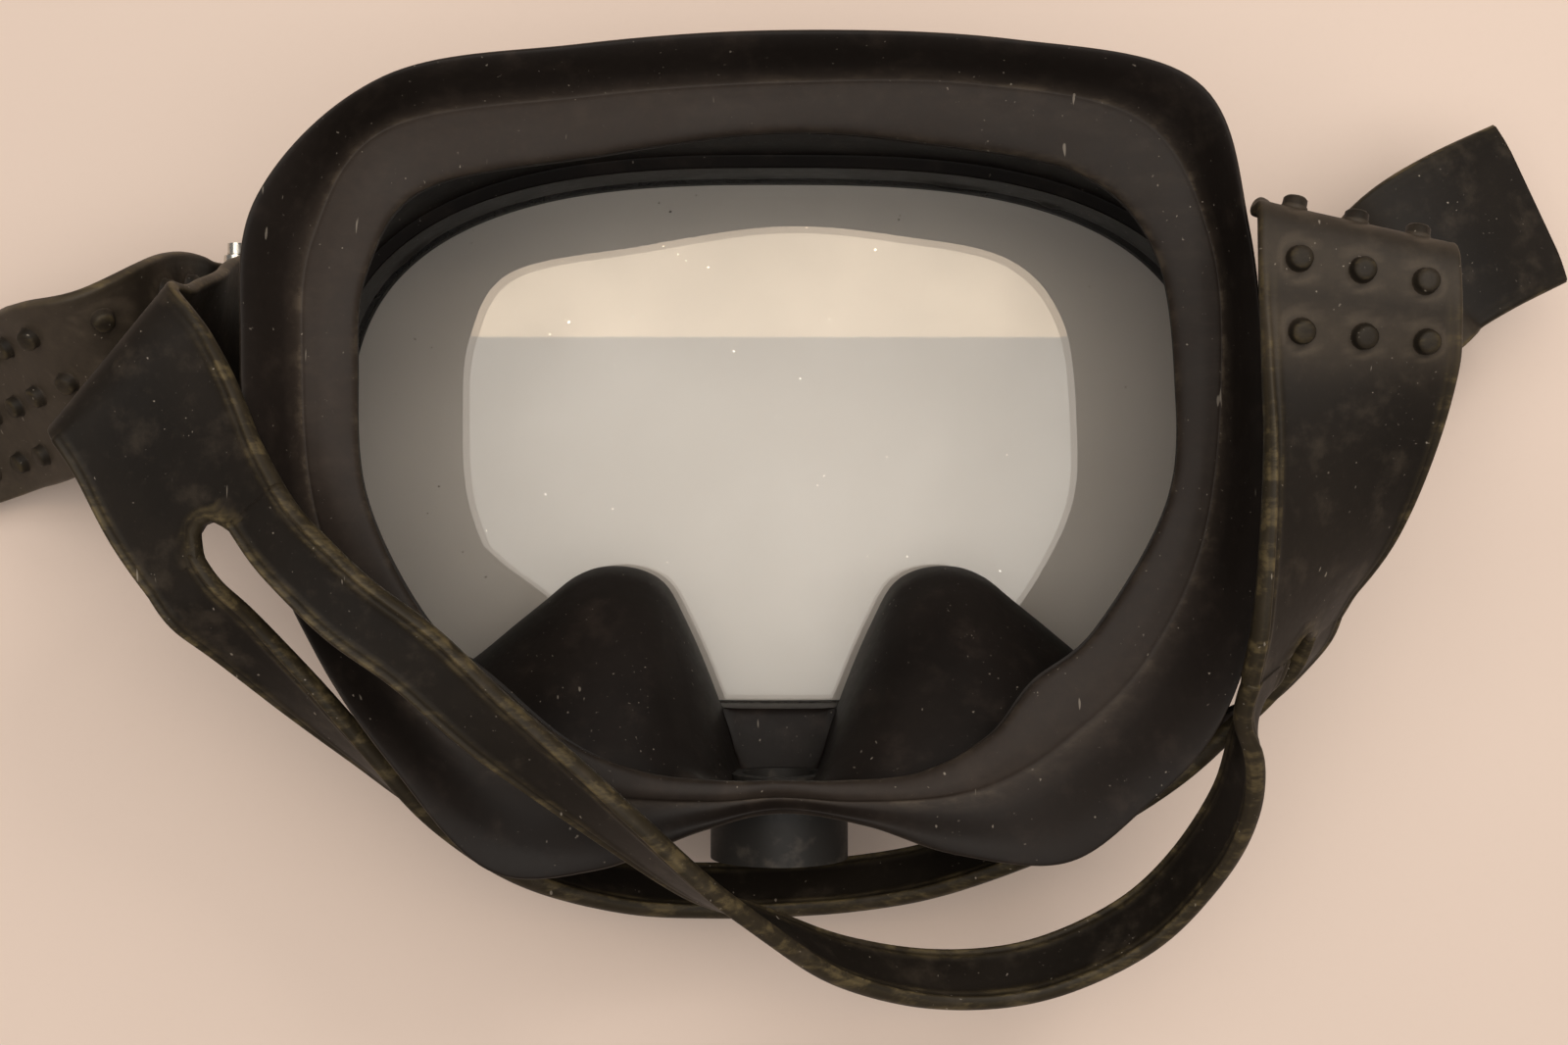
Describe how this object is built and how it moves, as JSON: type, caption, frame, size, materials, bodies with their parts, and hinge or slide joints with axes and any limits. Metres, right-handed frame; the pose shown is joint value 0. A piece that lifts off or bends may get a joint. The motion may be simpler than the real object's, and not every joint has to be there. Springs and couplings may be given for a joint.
{
  "type": "diving mask",
  "caption": "Diving mask with an oval lens in a one-piece rubber skirt, nose pocket, finger wells, purge valve, lens band, roller buckles and a split studded strap.",
  "frame": {"origin": "middle of the lens's front face", "axes": "+Z from the lens towards the face, +Y towards the forehead, +X to the right as seen from the face side; the mask rests on the front rim of its rubber at z = -2 mm"},
  "size_m": [0.3177, 0.1599, 0.0824],
  "materials": {
    "skirt_rubber": "matt, dusty",
    "strap_rubber": "matt, worn along its beads",
    "flap_rubber": "satin",
    "lens_glass": "polished",
    "band_steel": "satin",
    "buckle_steel": "worn chrome",
    "purge_plastic": "matt"
  },
  "bodies": {
    "mask": {"skirt": "skirt_rubber", "lens": "lens_glass", "lens_band": "band_steel", "clamp_nut": "band_steel", "purge_body": "purge_plastic", "purge_seat": "purge_plastic", "left_bracket": "band_steel", "left_hinge_pin": "band_steel", "right_bracket": "band_steel", "right_hinge_pin": "band_steel", "left_tongue": "strap_rubber", "right_tongue": "strap_rubber", "front_strap_band": "strap_rubber", "rear_strap_band": "strap_rubber"},
    "purge_flap_body": {"purge_flap": "flap_rubber"},
    "clamp_screw_body": {"clamp_screw": "band_steel"},
    "left_buckle_body": {"left_buckle": "buckle_steel"},
    "right_buckle_body": {"right_buckle": "buckle_steel"},
    "left_roller_body": {"left_roller": "buckle_steel"},
    "right_roller_body": {"right_roller": "buckle_steel"}
  },
  "joints": [
    {"name": "purge_flap_lift", "type": "slide", "parent": "mask", "child": "purge_flap_body", "axis": [0, -1, 0], "range_m": [0, 0.0012], "stiffness_N_per_m": 60, "springref_m": -0.0008},
    {"name": "clamp_screw_turn", "type": "hinge", "parent": "mask", "child": "clamp_screw_body", "pos_m": [0, 0.0586, 0.0056], "axis": [1, 0, 0], "continuous": true},
    {"name": "left_buckle_hinge", "type": "hinge", "parent": "mask", "child": "left_buckle_body", "pos_m": [-0.0912, 0.018, 0.0056], "axis": [0, 1, 0], "range_deg": [-5, 20]},
    {"name": "right_buckle_hinge", "type": "hinge", "parent": "mask", "child": "right_buckle_body", "pos_m": [0.0912, 0.018, 0.0056], "axis": [0, -1, 0], "range_deg": [-5, 20]},
    {"name": "left_roller_spin", "type": "hinge", "parent": "left_buckle_body", "child": "left_roller_body", "pos_m": [-0.1006, 0.018, 0.0056], "axis": [0, 1, 0], "continuous": true},
    {"name": "right_roller_spin", "type": "hinge", "parent": "right_buckle_body", "child": "right_roller_body", "pos_m": [0.1006, 0.018, 0.0056], "axis": [0, 1, 0], "continuous": true}
  ]
}
